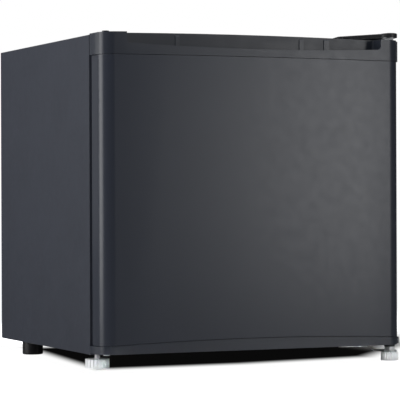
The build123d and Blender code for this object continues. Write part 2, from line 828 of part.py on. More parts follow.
def hinge_outline(margin, z0, z1):
    """The plan shared by both hinge plates: wide on the cabinet, tapered to the pin."""
    right = pin_x + hinge_boss + margin
    left = half - 1 - hinge_span - margin
    rear = cabinet_front + hinge_seat + margin
    knee = cabinet_front + 6 - margin
    points = [
        (right, rear),
        (left, rear),
        (left, knee),
        (pin_x - hinge_boss - margin, pin_y),
        (right, pin_y),
    ]
    outline = Polyline(*[(x, y, z0) for x, y in points], close=True)
    plan = extrude(make_face(outline), z1 - z0, dir=(0, 0, 1))
    return plan + post(pin_x, pin_y, z0, z1, hinge_boss + margin)


def hinge_screw_places():
    places = []
    for x in (half - hinge_span + 10, half - 16):
        for y in (cabinet_front + 22, cabinet_front + hinge_seat - 8):
            places.append((x, y))
    return places


def top_hinge_bracket():
    """The upper hinge: a cranked plate on the cabinet, with the pin riveted in its arm."""
    seat, arm = cabinet_top, cabinet_top + top_arm_lift
    ramp = cabinet_front - door_gap + 2.6
    t = hinge_plate
    points = [
        (front - 5, arm),
        (ramp, arm),
        (ramp + top_arm_ramp, seat),
        (cabinet_rear, seat),
        (cabinet_rear, seat + t),
        (ramp + top_arm_ramp + 0.8, seat + t),
        (ramp + 0.8, arm + t),
        (front - 5, arm + t),
    ]
    plate = side_profile(points, 0, half + 20) & hinge_outline(0, seat - 1, arm + t + 1)
    for x, y in hinge_screw_places():
        plate -= post(x, y, seat - 1, arm + t, hinge_screw_radius + 0.3)
    return plate + post(pin_x, pin_y, door_top - bush_length + 2, arm, pin_radius)


def lower_hinge_outline(z0, z1):
    """The lower plate's plan: straight along the cabinet's front, with a short arm to the pin."""
    right = pin_x + hinge_boss
    left = half - 1 - hinge_span
    rear = cabinet_front + hinge_seat
    knee = cabinet_front - lower_arm_lead
    root = pin_x - lower_arm_root
    points = [
        (right, rear),
        (left, rear),
        (left, knee),
        (root, knee),
        (pin_x - hinge_boss, pin_y),
        (right, pin_y),
    ]
    outline = Polyline(*[(x, y, z0) for x, y in points], close=True)
    plan = extrude(make_face(outline), z1 - z0, dir=(0, 0, 1))
    plan = fillet(upright_edges(plan).sort_by_distance((root, knee, (z0 + z1) / 2))[0], lower_arm_round)
    return plan + post(pin_x, pin_y, z0, z1, hinge_boss)


def lower_hinge_bracket():
    """The lower hinge: a cranked plate under the cabinet, reaching forward under the door."""
    seat, arm = cabinet_bottom, cabinet_bottom - lower_arm_drop
    ramp_end = cabinet_front - lower_arm_lead - 1
    ramp = ramp_end - lower_arm_ramp
    t = hinge_plate
    points = [
        (front - 5, arm),
        (ramp, arm),
        (ramp_end, seat),
        (cabinet_rear, seat),
        (cabinet_rear, seat - t),
        (ramp_end + 1.2, seat - t),
        (ramp + 1.2, arm - t),
        (front - 5, arm - t),
    ]
    plate = side_profile(points, 0, half + 20) & lower_hinge_outline(arm - t - 1, seat + 1)
    for x, y in hinge_screw_places():
        plate -= post(x, y, arm - t, seat + 1, hinge_screw_radius + 0.3)
    return plate - post(pin_x, pin_y, arm - t - 1, arm + 1, foot_stud_radius + running_play)


def lower_hinge_pin():
    """A turned pin on a hexagonal block, drilled from below for the right foot's stud."""
    arm = cabinet_bottom - lower_arm_drop
    hexagon = Pos(pin_x, pin_y, arm) * RegularPolygon(pin_block_radius, 6)
    block = extrude(hexagon, pin_block_height)
    block += post(pin_x, pin_y, arm + pin_block_height, bottom_seam - 0.6, pin_radius)
    return block - post(pin_x, pin_y, arm - 1, arm + pin_block_height - 1.5, foot_stud_radius + running_play)


def lower_hinge_washer():
    """The nylon washer that carries the door's weight."""
    low = cabinet_bottom - lower_arm_drop + pin_block_height
    disc = post(pin_x, pin_y, low, door_bottom - 0.1, washer_radius)
    return disc - post(pin_x, pin_y, low - 1, door_bottom + 1, pin_radius + running_play)


def hinge_screws():
    """Screws of both hinges, heads on the plates."""
    screws = []
    for x, y in hinge_screw_places():
        seat = cabinet_top + hinge_plate
        head = post(x, y, seat, seat + hinge_head_height, hinge_screw_head)
        screws.append(head + post(x, y, cabinet_top, seat, hinge_screw_radius))
        seat = cabinet_bottom - hinge_plate
        head = post(x, y, seat - hinge_head_height, seat, hinge_screw_head)
        screws.append(head + post(x, y, seat, cabinet_bottom, hinge_screw_radius))
    return screws


def falling_roof(height):
    """Everything above the hinge cover's sloping top, of that height over the pin."""
    y0, y1 = front - 20, cabinet_rear
    z0, z1 = (cabinet_top + height - cover_fall * (y - pin_y) for y in (y0, y1))
    high = cabinet_top + 3 * cover_height
    return side_profile([(y0, z0), (y1, z1), (y1, high), (y0, high)], 0, half + 20)


def hinge_cover():
    """The moulded cover over the upper hinge, its top falling to the back."""
    high = cabinet_top + 2 * cover_height
    outer = hinge_outline(cover_margin, cabinet_top, high) - falling_roof(cover_height)
    outer = fillet(outer.faces().sort_by(Axis.Z)[-1].edges(), cover_round)
    inner = hinge_outline(cover_margin - cover_wall, cabinet_top - 1, high)
    shell = outer - (inner - falling_roof(cover_height - cover_wall))
    ceiling = cabinet_top + top_arm_lift + cover_lap
    door_space = slab(0, half + 20, front - 20, cabinet_front + 0.6, cabinet_top - 1, ceiling)
    return shell - door_space


def foot_disc(x, y, radius, height):
    """A fluted hand wheel with a socket for its stud."""
    disc = post(x, y, 0, height, radius)
    flutes = []
    for index in range(foot_flutes):
        angle = 2 * pi * index / foot_flutes
        fx = x + (radius + 0.5) * cos(angle)
        fy = y + (radius + 0.5) * sin(angle)
        flutes.append(post(fx, fy, 1.5, height + 1, foot_flute_radius))
    return disc - flutes - post(x, y, foot_seat, height + 1, foot_stud_radius + running_play)


def foot_stud(x, y, top):
    return post(x, y, foot_seat + 0.2, top, foot_stud_radius)


def left_foot_socket():
    """The threaded socket in the cabinet's floor for the left foot."""
    x, y = left_foot_place()
    socket = post(x, y, cabinet_bottom, cabinet_bottom + socket_height, socket_radius)
    socket += post(x, y, cabinet_bottom - socket_flange, cabinet_bottom, socket_radius + 4)
    bore = foot_stud_radius + running_play
    return socket - post(x, y, cabinet_bottom - 3, cabinet_bottom + socket_height - 1, bore)


def rear_feet():
    feet = []
    for side in (-1, 1):
        x, y = side * (half - rear_foot_inset), cabinet_rear - rear_foot_setback
        foot = post(x, y, 0, cabinet_bottom, rear_foot_radius)
        foot = fillet(foot.faces().sort_by(Axis.Z)[0].edges(), 2)
        feet.append(foot)
    return feet


def base_beam():
    """The steel cross member that carries the compressor and the rear feet."""
    x = half - sheet
    y0, y1 = bay_front + sheet + 1, cabinet_rear - 4
    beam = slab(-x, x, y0, y1, cabinet_bottom, beam_top)
    for y in (y0, y1 - beam_sheet):
        beam += slab(-x, x, y, y + beam_sheet, cabinet_bottom, cabinet_bottom + beam_lip)
    return beam


def compressor():
    """The welded oval shell of the compressor, with its seam."""
    shell = Pos(compressor_x, compressor_y, compressor_floor) * extrude(
        Ellipse(compressor_a, compressor_b), compressor_height
    )
    shell = fillet(shell.faces().sort_by(Axis.Z)[-1].edges(), compressor_round)
    shell = fillet(shell.faces().sort_by(Axis.Z)[0].edges(), compressor_round / 2)
    seam = Pos(compressor_x, compressor_y, compressor_floor + compressor_height * 0.52) * extrude(
        Ellipse(compressor_a + 3, compressor_b + 3), 3
    )
    return shell + seam


def mount_places():
    places = []
    for x in (compressor_x - mount_x, compressor_x + mount_x):
        for y in (compressor_y - mount_y, compressor_y + mount_y):
            places.append((x, y))
    return places


def compressor_plate():
    """The foot plate welded under the compressor."""
    margin = 11
    plate = slab(
        compressor_x - mount_x - margin,
        compressor_x + mount_x + margin,
        compressor_y - mount_y - margin,
        compressor_y + mount_y + margin,
        plate_bottom,
        compressor_floor,
    )
    plate = fillet(upright_edges(plate), margin - 1)
    for x, y in mount_places():
        plate -= post(x, y, plate_bottom - 1, compressor_floor + 1, mount_bolt_radius + 0.2)
    return plate


def compressor_grommets():
    grommets = []
    for x, y in mount_places():
        body = post(x, y, beam_top, plate_bottom, grommet_radius)
        grommets.append(body - post(x, y, beam_top - 1, plate_bottom + 1, mount_bolt_radius + 0.2))
    return grommets


def compressor_bolts():
    bolts = []
    for x, y in mount_places():
        shank = post(x, y, beam_top, compressor_floor, mount_bolt_radius)
        head = extrude(Pos(x, y, compressor_floor) * RegularPolygon(2 * mount_bolt_radius, 6), 4)
        bolts.append(shank + head)
    return bolts


def terminal_cover():
    """The plastic cover over the starter and overload switch on the compressor's side."""
    z0 = compressor_floor + terminal_rise
    box = slab(
        compressor_x - compressor_a - terminal_reach,
        compressor_x - compressor_a + terminal_overlap,
        compressor_y - terminal_front,
        compressor_y - terminal_rear,
        z0,
        z0 + terminal_height,
    )
    box = fillet(upright_edges(box), 3)
    return box - compressor()


def discharge_line():
    """The hot line from the compressor to the top of the condenser's riser."""
    riser = condenser_half + riser_gap
    level = compressor_floor + discharge_level
    crossing = bay_line_z - discharge_drop
    bend = compressor_x + compressor_a + discharge_reach
    points = [
        (compressor_x + compressor_a - stub_depth, compressor_y, level),
        (bend, compressor_y, level),
        (bend, compressor_y, crossing),
        (riser, compressor_y, crossing),
        (riser, condenser_y, crossing),
        (riser, condenser_y, bay_top),
    ]
    return pipe(points, line_bend, line_radius) - compressor()


def drier_top():
    return bay_line_z - line_bend - drier_gap


def drier_bottom():
    return drier_top() - drier_length


def condenser_levels():
    return [condenser_top - condenser_pitch * index for index in range(condenser_runs)]


def condenser_tube():
    """One serpentine tube: up the riser, back and forth, then down and into the bay."""
    y = condenser_y
    riser = condenser_half + riser_gap
    points = [(riser, y, bay_top), (riser, y, condenser_top)]
    side = -1
    for index, level in enumerate(condenser_levels()):
        if index:
            points.append((-side * condenser_half, y, level))
        points.append((side * condenser_half, y, level))
        side = -side
    points.append((-side * condenser_half, y, bay_line_z))
    points.append((-side * condenser_half, cabinet_rear - drier_setback, bay_line_z))
    points.append((-side * condenser_half, cabinet_rear - drier_setback, drier_top()))
    bends = [condenser_pitch / 2 - 0.4] * (len(points) - 4) + [line_bend] * 2
    return pipe(points, bends, line_radius)


def condenser_wire_set():
    """The upright wires welded to both faces of the serpentine."""
    low, high = condenser_levels()[-1] - 8, condenser_top + 8
    offset = line_radius + weld_gap + condenser_wire_radius
    reach = condenser_half - condenser_pitch / 2 - 4
    spacing = 2 * reach / (condenser_wires - 1)
    wires = []
    for index in range(condenser_wires):
        for face in (-1, 1):
            x = -reach + spacing * index
            wires.append(post(x, condenser_y + face * offset, low, high, condenser_wire_radius))
    return wires


def bracket_places():
    levels = condenser_levels()
    reach = condenser_half - condenser_pitch / 2 - 4
    spacing = 2 * reach / (condenser_wires - 1)
    x = reach - 1.5 * spacing
    return [(side * x, (levels[i] + levels[i + 1]) / 2) for side in (-1, 1) for i in (0, condenser_runs - 2)]


def condenser_brackets():
    """Four moulded stand-offs between the back panel and the condenser's wires."""
    brackets = []
    near = condenser_y - line_radius - 2 * condenser_wire_radius - 0.1
    for x, z in bracket_places():
        body = slab(x - 9, x + 9, cabinet_rear, near, z - 9, z + 9)
        brackets.append(fillet(body.edges().filter_by(Axis.Y), 3))
    return brackets


def rear_screws():
    """The screws round the back panel."""
    screws = []
    inset = 14
    levels = (bay_top + inset, (bay_top + cabinet_top) / 2, cabinet_top - inset)
    for x in (-half + inset, half - inset):
        for z in levels:
            screws.append(rod((x, cabinet_rear, z), (x, cabinet_rear + 2, z), 4))
    return screws


def filter_drier():
    """The copper drier between the condenser and the capillary."""
    x, y = -condenser_half, cabinet_rear - drier_setback
    neck = 8
    top, low = drier_top(), drier_bottom()
    body = post(x, y, low + neck, top - neck, drier_radius)
    upper = Pos(x, y, top - neck / 2) * Cone(drier_radius, line_radius, neck)
    lower = Pos(x, y, low + neck / 2) * Cone(capillary_radius, drier_radius, neck)
    return body + upper + lower


def cord_gland():
    """The rubber gland in the bay's wall where the supply lead comes out."""
    x, z = half - gland_inset, cabinet_bottom + gland_rise
    y = bay_front + sheet
    flange_end = y + gland_flange
    end = flange_end + gland_neck
    body = rod((x, y, z), (x, flange_end, z), gland_flange_radius)
    body += rod((x, flange_end, z), (x, end, z), gland_radius)
    return body - rod((x, y, z), (x, end + 1, z), gland_bore)


foot_x, foot_y = left_foot_place()
socket_end = cabinet_bottom + socket_height - 1.5
pin_block_end = cabinet_bottom - lower_arm_drop + pin_block_height - 2
nodes = {
    "left_side_panel": side_panel(-1),
    "right_side_panel": side_panel(1),
    "top_panel": top_panel(),
    "bottom_panel": bottom_panel(),
    "compressor_bay_panel": bay_panel(),
    "back_panel": back_panel(),
    "insulation_foam": insulation_foam(),
    "inner_liner": inner_liner(),
    "wire_shelf": wire_shelf(),
    "evaporator": evaporator(),
    "evaporator_spacers": evaporator_spacers(),
    "freezer_frame": freezer_frame(),
    "freezer_flap": freezer_flap(),
    "tray_rails": tray_rails(),
    "drip_tray": drip_tray(),
    "thermostat_housing": thermostat_housing(),
    "thermostat_control": thermostat_control(),
    "thermostat_knob": thermostat_knob(),
    "sensing_bulb": sensing_bulb(),
    "compressor": compressor(),
    "compressor_plate": compressor_plate(),
    "compressor_grommets": compressor_grommets(),
    "compressor_bolts": compressor_bolts(),
    "terminal_cover": terminal_cover(),
    "base_beam": base_beam(),
    "discharge_line": discharge_line(),
    "condenser_tube": condenser_tube(),
    "condenser_wires": condenser_wire_set(),
    "condenser_brackets": condenser_brackets(),
    "rear_screws": rear_screws(),
    "filter_drier": filter_drier(),
    "capillary_tube": capillary_tube(),
    "suction_line": suction_line(),
    "cord_gland": cord_gland(),
    "rear_feet": rear_feet(),
    "left_foot_socket": left_foot_socket(),
    "left_foot_stud": foot_stud(foot_x, foot_y, socket_end),
    "left_foot_disc": foot_disc(foot_x, foot_y, left_foot_radius, left_foot_height),
    "right_foot_stud": foot_stud(pin_x, pin_y, pin_block_end),
    "right_foot_disc": foot_disc(pin_x, pin_y, right_foot_radius, right_foot_height),
    "top_hinge_bracket": top_hinge_bracket(),
    "hinge_cover": hinge_cover(),
    "hinge_screws": hinge_screws(),
    "lower_hinge_bracket": lower_hinge_bracket(),
    "lower_hinge_pin": lower_hinge_pin(),
    "lower_hinge_washer": lower_hinge_washer(),
    "door_skin": door_skin(),
    "door_top_cap": door_top_cap(),
    "door_bottom_cap": door_bottom_cap(),
    "door_foam": door_foam(),
    "door_liner": door_liner(),
    "door_gasket": door_gasket(),
    "hinge_bushes": hinge_bushes(),
    "top_hole_plug": top_hole_plug(),
    "bottom_hole_plug": bottom_hole_plug(),
    "lower_door_rack": door_rack(lower_rack_z, lower_rack_height, lower_rack_depth),
    "upper_door_rack": door_rack(upper_rack_z, upper_rack_height, upper_rack_depth),
}

os.makedirs("parts", exist_ok=True)
for name, shape in nodes.items():
    solids = shape if isinstance(shape, list) else [shape]
    export_step(Compound(children=[Solid(s.solid().wrapped) for s in solids]), f"parts/{name}.step")
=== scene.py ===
"""A counter-top mini fridge in a plain studio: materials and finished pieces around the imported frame."""
import json
from math import cos, pi, radians, sin

import bmesh
import bpy
from mathutils import Matrix, Vector

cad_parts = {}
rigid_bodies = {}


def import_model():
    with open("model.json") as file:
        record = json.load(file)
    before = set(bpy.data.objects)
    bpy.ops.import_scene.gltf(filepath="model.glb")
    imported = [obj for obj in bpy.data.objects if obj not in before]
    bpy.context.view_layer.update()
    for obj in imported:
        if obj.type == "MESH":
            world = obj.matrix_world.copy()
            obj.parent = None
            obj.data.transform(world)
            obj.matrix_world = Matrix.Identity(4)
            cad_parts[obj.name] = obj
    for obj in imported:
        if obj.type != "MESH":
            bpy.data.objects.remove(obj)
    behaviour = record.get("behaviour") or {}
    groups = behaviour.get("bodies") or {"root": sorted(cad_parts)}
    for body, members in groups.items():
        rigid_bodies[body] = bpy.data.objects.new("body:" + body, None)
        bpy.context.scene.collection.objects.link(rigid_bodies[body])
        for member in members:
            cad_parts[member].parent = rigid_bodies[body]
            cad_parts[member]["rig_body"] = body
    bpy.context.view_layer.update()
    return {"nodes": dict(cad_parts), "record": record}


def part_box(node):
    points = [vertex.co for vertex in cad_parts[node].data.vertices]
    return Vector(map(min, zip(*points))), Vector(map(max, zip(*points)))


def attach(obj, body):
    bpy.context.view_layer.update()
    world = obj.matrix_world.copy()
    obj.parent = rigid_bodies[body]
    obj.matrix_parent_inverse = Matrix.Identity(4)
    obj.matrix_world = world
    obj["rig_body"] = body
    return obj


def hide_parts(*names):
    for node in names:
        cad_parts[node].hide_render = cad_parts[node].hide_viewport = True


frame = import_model()

MM = 0.001
nodes = frame["nodes"]
slot_of = {row["node"]: row["material_slot"] for row in frame["record"]["subparts"]}


def low(node):
    """The corner of a node's box with its least coordinates, in metres."""
    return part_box(node)[0]


def high(node):
    """The corner of a node's box with its greatest coordinates, in metres."""
    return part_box(node)[1]


left_side = low("left_side_panel").x
right_side = high("right_side_panel").x
door_front = low("door_skin").y
door_side = low("door_skin").x
door_top = high("door_top_cap").z
cabinet_rear = high("left_side_panel").y

# The grip is a recess in the door's top cap, with ribs that stand off its rear wall.
grip_depth = 25 * MM
grip_back = door_front + grip_depth
rib_depth = 4 * MM


# Materials ---------------------------------------------------------------------------------


def calculate(tree, operation, *values):
    """A chain of one operation over shader values and plain numbers."""
    result = values[0]
    for value in values[1:]:
        made = tree.nodes.new("ShaderNodeMath")
        made.operation = operation
        for socket, item in zip(made.inputs, (result, value)):
            if isinstance(item, (int, float)):
                socket.default_value = item
            else:
                tree.links.new(item, socket)
        result = made.outputs[0]
    return result


class Finish:
    """One procedural material: a Principled shader with helpers for its textures."""

    def __init__(self, name):
        self.name = name
        self.material = bpy.data.materials.new(name)
        self.material.use_nodes = True
        self.tree = self.material.node_tree
        self.shader = self.tree.nodes["Principled BSDF"]
        self.place = self.tree.nodes.new("ShaderNodeTexCoord").outputs["Object"]
        self.normal = None

    def node(self, kind, **settings):
        """A new shader node with its settings."""
        made = self.tree.nodes.new(kind)
        for key, value in settings.items():
            setattr(made, key, value)
        return made

    def link(self, output, target):
        self.tree.links.new(output, target)

    def stretched(self, scale):
        """Object coordinates scaled unevenly, for a grain that runs one way."""
        mapping = self.node("ShaderNodeMapping")
        mapping.inputs["Scale"].default_value = scale
        self.link(self.place, mapping.inputs["Vector"])
        return mapping.outputs["Vector"]

    def noise(self, scale, detail=3.0, rough=0.55, place=None):
        """Noise from 0 to 1, with its scale in cells per metre."""
        made = self.node("ShaderNodeTexNoise")
        made.inputs["Scale"].default_value = scale
        made.inputs["Detail"].default_value = detail
        made.inputs["Roughness"].default_value = rough
        self.link(place or self.place, made.inputs["Vector"])
        return made.outputs["Fac"]

    def cells(self, scale):
        """Cells of one colour each, with their scale in cells per metre."""
        made = self.node("ShaderNodeTexVoronoi")
        made.inputs["Scale"].default_value = scale
        self.link(self.place, made.inputs["Vector"])
        return made

    def ranged(self, value, low_in, high_in, low_out, high_out):
        """The value carried from one range to another, and held at its ends."""
        made = self.node("ShaderNodeMapRange")
        for socket, number in zip(made.inputs[1:5], (low_in, high_in, low_out, high_out)):
            socket.default_value = number
        self.link(value, made.inputs[0])
        return made.outputs[0]

    def ramp(self, value, stops):
        """A colour from the value, by stops that are each a place from 0 to 1 and a colour."""
        made = self.node("ShaderNodeValToRGB")
        elements = made.color_ramp.elements
        while len(elements) < len(stops):
            elements.new(0.5)
        for element, (place, colour) in zip(elements, stops):
            element.position = place
            element.color = (*colour, 1)
        self.link(value, made.inputs[0])
        return made.outputs[0]

    def mixed(self, amount, first, second):
        """Colour from first to second as amount goes from 0 to 1."""
        made = self.node("ShaderNodeMix", data_type="RGBA")
        self.link(amount, made.inputs[0])
        # The node's colour sockets are 6 and 7, and its colour output is 2.
        for socket, value in ((made.inputs[6], first), (made.inputs[7], second)):
            if isinstance(value, tuple):
                socket.default_value = (*value, 1)
            else:
                self.link(value, socket)
        return made.outputs[2]

    def bump(self, height, depth_mm):
        """Adds relief of a depth in millimetres, over any relief that is there already."""
        made = self.node("ShaderNodeBump")
        made.inputs["Strength"].default_value = 1.0
        made.inputs["Distance"].default_value = depth_mm * MM
        self.link(height, made.inputs["Height"])
        if self.normal:
            self.link(self.normal, made.inputs["Normal"])
        self.normal = made.outputs["Normal"]
        self.link(self.normal, self.shader.inputs["Normal"])

    def colour(self, output):
        self.link(output, self.shader.inputs["Base Color"])

    def rough(self, output):
        self.link(output, self.shader.inputs["Roughness"])

    def fixed(self, **values):
        """Sets sockets of the shader, with _ for a space in their names."""
        for key, value in values.items():
            self.shader.inputs[key.replace("_", " ")].default_value = value


def shade(colour, factor):
    """The colour, darker or lighter by a factor."""
    return tuple(min(1.0, channel * factor) for channel in colour)


def coated(name, colour, rough, grain=(1400, 0.012), peel=(260, 0.006), mottle=0.05, spread=0.05):
    """Paint or moulded plastic: a fine grain, a long ripple and a slight unevenness.

    Grain and peel, which is the ripple, are each a scale in cells per metre and a depth in
    millimetres. The colour varies by the share mottle, and the roughness by spread.
    """
    made = Finish(name)
    cloud = made.noise(14, 4)
    made.colour(made.ramp(cloud, ((0.3, shade(colour, 1 - mottle)), (0.7, shade(colour, 1 + mottle)))))
    made.rough(made.ranged(made.noise(60, 5), 0.3, 0.7, rough - spread, rough + spread))
    for scale, depth in (peel, grain):
        made.bump(made.noise(scale, 2), depth)
    return made


def metal(name, colour, rough, tarnish, mottle_scale):
    """Bare or plated metal with clouded tarnish, which has a scale in clouds per metre."""
    made = Finish(name)
    cloud = made.noise(mottle_scale, 6, 0.65)
    made.colour(made.ramp(cloud, ((0.35, tarnish), (0.62, colour))))
    made.rough(made.ranged(made.noise(mottle_scale * 3, 4), 0.3, 0.7, rough - 0.08, rough + 0.1))
    made.bump(made.noise(900, 3), 0.006)
    made.fixed(Metallic=1.0)
    return made


def galvanised(name):
    """Zinc-coated steel with its crystal pattern."""
    made = Finish(name)
    flower = made.cells(150)
    tone = made.node("ShaderNodeSeparateColor")
    made.link(flower.outputs["Color"], tone.inputs[0])
    made.colour(made.ramp(tone.outputs[0], ((0.0, (0.5, 0.51, 0.52)), (1.0, (0.68, 0.69, 0.7)))))
    made.rough(made.ranged(tone.outputs[1], 0, 1, 0.32, 0.5))
    made.bump(made.noise(400, 4), 0.01)
    made.fixed(Metallic=0.9)
    return made


def foam(name, colour):
    """Rigid foam with small closed cells."""
    made = Finish(name)
    cell = made.cells(900)
    made.colour(made.mixed(cell.outputs["Distance"], shade(colour, 1.05), shade(colour, 0.8)))
    made.bump(cell.outputs["Distance"], 0.3)
    made.fixed(Roughness=0.85)
    return made


def clear(name, colour, rough, transmission):
    """Clear or frosted plastic."""
    made = Finish(name)
    stops = ((0.3, shade(colour, 0.96)), (0.7, shade(colour, 1.03)))
    made.colour(made.ramp(made.noise(20, 3), stops))
    made.rough(made.ranged(made.noise(90, 4), 0.3, 0.7, rough * 0.8, rough * 1.2))
    made.bump(made.noise(60, 2), 0.02)
    made.fixed(Transmission_Weight=transmission, IOR=1.49)
    return made


def evaporator_sheet(name, channel_height=1.2, brushing_depth=0.008):
    """Roll-bonded aluminium: raised channels over a brushed sheet, with heights in millimetres."""
    made = Finish(name)
    stops = ((0.35, (0.55, 0.56, 0.58)), (0.65, (0.74, 0.75, 0.76)))
    made.colour(made.ramp(made.noise(30, 5), stops))
    made.rough(made.ranged(made.noise(80, 4), 0.3, 0.7, 0.32, 0.5))
    wave = made.node("ShaderNodeTexWave", wave_type="BANDS", bands_direction="Y", wave_profile="SIN")
    wave.inputs["Scale"].default_value = 7.5
    wave.inputs["Distortion"].default_value = 0.0
    made.link(made.place, wave.inputs["Vector"])
    made.bump(made.ranged(wave.outputs["Fac"], 0.62, 0.86, 0, 1), channel_height)
    made.bump(made.noise(1.0, 2, place=made.stretched((60, 900, 900))), brushing_depth)
    made.fixed(Metallic=1.0)
    return made


def shade_and_dull_behind(made, depth, from_left, tone, gloss):
    """Gives painted shade, a coarser grain and less gloss to what lies behind a depth and right of a line.

    Both run in over a short way, and usual_gloss is the shader's own.
    """
    deep_run, inward_run, usual_gloss = 0.4 * MM, 2 * MM, 0.5
    place = made.node("ShaderNodeSeparateXYZ")
    made.link(made.place, place.inputs[0])
    deep = made.ranged(place.outputs[1], depth, depth + deep_run, 0, 1)
    inward = made.ranged(place.outputs[0], from_left, from_left + inward_run, 0, 1)
    both = calculate(made.tree, "MULTIPLY", deep, inward)
    usual = made.shader.inputs["Base Color"].links[0].from_socket
    # Painted shade: a darker tone of the cap's colour, standing in for the shade inside the grip.
    shaded_dull = made.ramp(made.noise(900, 3), ((0.3, shade(tone, 0.9)), (0.7, shade(tone, 1.1))))
    made.colour(made.mixed(both, usual, shaded_dull))
    made.link(made.ranged(both, 0, 1, usual_gloss, gloss), made.shader.inputs["Specular IOR Level"])


steel_blue = (0.033, 0.038, 0.053)
front_blue = (0.031, 0.036, 0.05)
cap_blue = (0.028, 0.033, 0.045)
white = (0.74, 0.76, 0.78)

made_finishes = (
    coated("skin_paint", steel_blue, 0.5, grain=(1500, 0.012), peel=(240, 0.008)),
    coated(
        "door_paint", front_blue, 0.3, grain=(1700, 0.002), peel=(170, 0.001), mottle=0.03, spread=0.02
    ),
    coated("cap_plastic", cap_blue, 0.31, grain=(1900, 0.006), peel=(300, 0.002), spread=0.03),
    coated("black_plastic", (0.012, 0.012, 0.014), 0.42, grain=(1600, 0.015)),
    galvanised("galvanised"),
    metal("screws", (0.6, 0.61, 0.6), 0.36, (0.42, 0.41, 0.36), 220),
    foam("foam", (0.8, 0.7, 0.45)),
    coated("white_liner", white, 0.34, grain=(300, 0.0015), peel=(40, 0.01), mottle=0.02, spread=0.02),
    coated("white_plastic", (0.72, 0.73, 0.74), 0.36, grain=(1300, 0.012), mottle=0.03),
    coated("foot_plastic", (0.88, 0.89, 0.9), 0.42, grain=(1200, 0.015), mottle=0.06),
    clear("frosted_plastic", (0.78, 0.84, 0.88), 0.42, 0.55),
    clear("rack_plastic", (0.86, 0.9, 0.92), 0.12, 0.85),
    coated("shelf_wire", (0.74, 0.75, 0.75), 0.3, grain=(800, 0.02), mottle=0.03),
    evaporator_sheet("evaporator_aluminium"),
    coated("gasket_rubber", (0.2, 0.21, 0.225), 0.55, grain=(1500, 0.01), mottle=0.1),
    coated("black_rubber", (0.014, 0.014, 0.014), 0.62, grain=(1200, 0.02), mottle=0.15),
    coated("compressor_paint", (0.011, 0.011, 0.012), 0.24, peel=(220, 0.02), mottle=0.1),
    coated("condenser_paint", (0.012, 0.012, 0.013), 0.36, grain=(900, 0.02), mottle=0.1),
    metal("copper", (0.8, 0.42, 0.26), 0.3, (0.42, 0.2, 0.12), 90),
    metal("control_metal", (0.6, 0.6, 0.61), 0.34, (0.4, 0.4, 0.4), 120),
)
finishes = {made.name: made for made in made_finishes}

# The grip's rear wall is duller than the rest of the cap, and darker by painted shade, from just before
# it.
shade_and_dull_from = grip_back - 0.6 * MM
grip_start = left_side + 20 * MM
shade_and_dull_behind(finishes["cap_plastic"], shade_and_dull_from, grip_start, shade(cap_blue, 0.85), 0.4)


# Pieces ------------------------------------------------------------------------------------


def add_piece(name, mesh, node, sharp=35):
    """Puts a finished mesh in place of a CAD node, with its body and the material of its slot."""
    piece = bpy.data.objects.new(name, mesh)
    bpy.context.scene.collection.objects.link(piece)
    for face in mesh.polygons:
        face.use_smooth = True
    mesh.set_sharp_from_angle(angle=radians(sharp))
    mesh.materials.clear()
    mesh.materials.append(finishes[slot_of[node]].material)
    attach(piece, nodes[node]["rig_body"])
    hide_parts(node)
    return piece


def round_edges(piece, radius, segments=3, angle=34):
    """Rounds the edges that turn by more than an angle in degrees, by a radius in millimetres."""
    bevel = piece.modifiers.new("round_edges", "BEVEL")
    bevel.width = radius * MM
    bevel.segments = segments
    bevel.limit_method = "ANGLE"
    bevel.angle_limit = radians(angle)
    bevel.harden_normals = True
    bevel.use_clamp_overlap = True


def welded_copy(node, weld_gap=0.004 * MM, flat_angle=0.2):
    """The node's shape with its shared corners joined and its flat faces whole."""
    source = nodes[node].data
    mesh = bpy.data.meshes.new(node + "_form")
    corners = [vertex.co for vertex in source.vertices]
    mesh.from_pydata(corners, [], [tuple(face.vertices) for face in source.polygons])
    form = bmesh.new()
    form.from_mesh(mesh)
    bmesh.ops.remove_doubles(form, verts=form.verts, dist=weld_gap)
    bmesh.ops.dissolve_limit(
        form, angle_limit=radians(flat_angle), verts=form.verts, edges=form.edges
    )
    form.to_mesh(mesh)
    form.free()
    return mesh


def finish_node(node, radius):
    """Puts the node's own shape in its place, with its edges rounded where a radius is given."""
    piece = add_piece(node + "_form", welded_copy(node), node)
    if radius:
        round_edges(piece, radius)
    return piece


